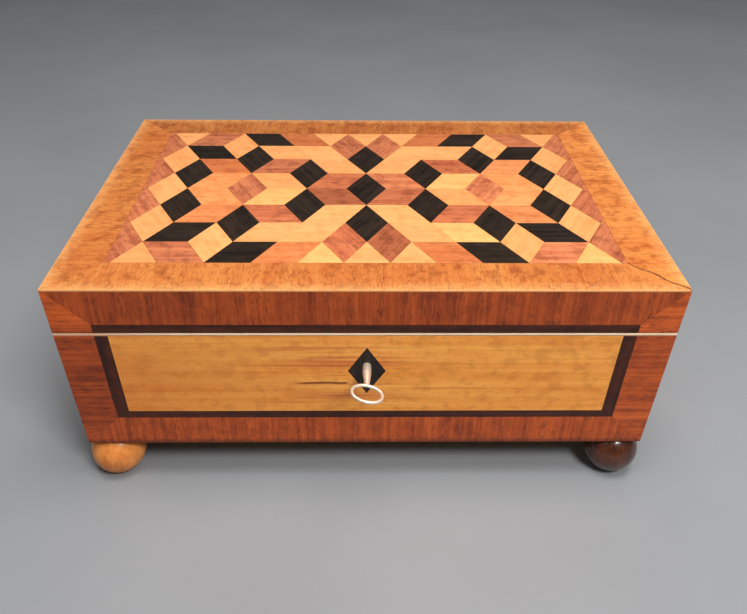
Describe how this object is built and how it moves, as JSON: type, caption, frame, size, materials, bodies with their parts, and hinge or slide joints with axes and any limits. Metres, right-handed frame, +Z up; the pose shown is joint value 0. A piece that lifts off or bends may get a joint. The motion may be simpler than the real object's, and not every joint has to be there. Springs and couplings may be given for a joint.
{
  "type": "inlaid wooden box",
  "caption": "Tapered wooden box with a hinged lid in cube parquetry, crossbanded fronts with ebony stringing, bun feet, a box lock and its key.",
  "frame": {"origin": "under the middle of the box's whole extent, key and hinges included, on the plane that the feet stand on", "axes": "+X to the right along the long front, the front with the keyhole faces -Y, +Z up"},
  "size_m": [0.3, 0.2326, 0.1273],
  "materials": {
    "carcass_pine": "bare, oiled",
    "crossband_mahogany": "french polished",
    "border_cherry": "french polished",
    "satinwood": "french polished",
    "maple": "french polished",
    "cherry": "french polished",
    "mahogany": "french polished",
    "ebony": "french polished",
    "boxwood": "satin",
    "foot_fruitwood": "satin",
    "foot_rosewood": "gloss",
    "lining_paper": "matt",
    "brass": "worn satin",
    "steel": "worn satin"
  },
  "bodies": {
    "box": {"base_board": "carcass_pine", "carcass_front": "carcass_pine", "carcass_back": "carcass_pine", "carcass_left": "carcass_pine", "carcass_right": "carcass_pine", "rim_facings": "boxwood", "front_panel": "satinwood", "escutcheon": "ebony", "front_strings": "ebony", "front_bands": "crossband_mahogany", "left_panel": "satinwood", "right_panel": "satinwood", "side_strings": "ebony", "side_bands": "crossband_mahogany", "back_veneer": "crossband_mahogany", "floor_lining": "lining_paper", "wall_lining": "lining_paper", "foot_front_left": "foot_fruitwood", "foot_front_right": "foot_rosewood", "foot_back_left": "foot_rosewood", "foot_back_right": "foot_rosewood", "lock_plate": "brass", "lock_case": "steel", "drill_pin": "steel", "lock_screws": "steel", "hinge_lower_leaf_left": "brass", "hinge_lower_leaf_right": "brass", "hinge_pins": "steel", "hinge_screws_lower": "brass"},
    "lid": {"lid_top_board": "carcass_pine", "lid_rail_front": "carcass_pine", "lid_rail_back": "carcass_pine", "lid_rail_left": "carcass_pine", "lid_rail_right": "carcass_pine", "top_border_front": "border_cherry", "top_border_back": "border_cherry", "top_border_left": "border_cherry", "top_border_right": "border_cherry", "tiles_ebony_upright": "ebony", "tiles_ebony_slanted": "ebony", "tiles_maple_upright": "maple", "tiles_maple_slanted": "maple", "tiles_maple_triangle": "maple", "tiles_cherry_slanted": "cherry", "tiles_mahogany_upright": "mahogany", "tiles_mahogany_slanted": "mahogany", "lid_front_band": "crossband_mahogany", "lid_front_ends": "crossband_mahogany", "lid_front_strings": "ebony", "lid_side_bands": "crossband_mahogany", "lid_side_strings": "ebony", "lid_back_veneer": "crossband_mahogany", "lid_lining": "lining_paper", "hinge_upper_leaf_left": "brass", "hinge_upper_leaf_right": "brass", "hinge_screws_upper": "brass", "link_plate": "brass", "link_plate_screws": "steel"},
    "key": {"key": "steel"},
    "bolt": {"lock_bolt": "steel"}
  },
  "joints": [
    {"name": "lid_hinge", "type": "hinge", "parent": "box", "child": "lid", "pos_m": [0, 0.11162, 0.1016], "axis": [-1, 0, 0], "range_deg": [0, 95]},
    {"name": "key_turn", "type": "hinge", "parent": "box", "child": "key", "pos_m": [0, -0.09082, 0.0807], "axis": [0, -0.9993, -0.0366], "range_deg": [0, 180]},
    {"name": "bolt_slide", "type": "slide", "parent": "box", "child": "bolt", "axis": [-1, 0, 0], "range_m": [0, 0.005]}
  ],
  "couplings": [
    {"joint": "key_turn", "follows": "bolt_slide", "rad_per_m": 628.32}
  ]
}
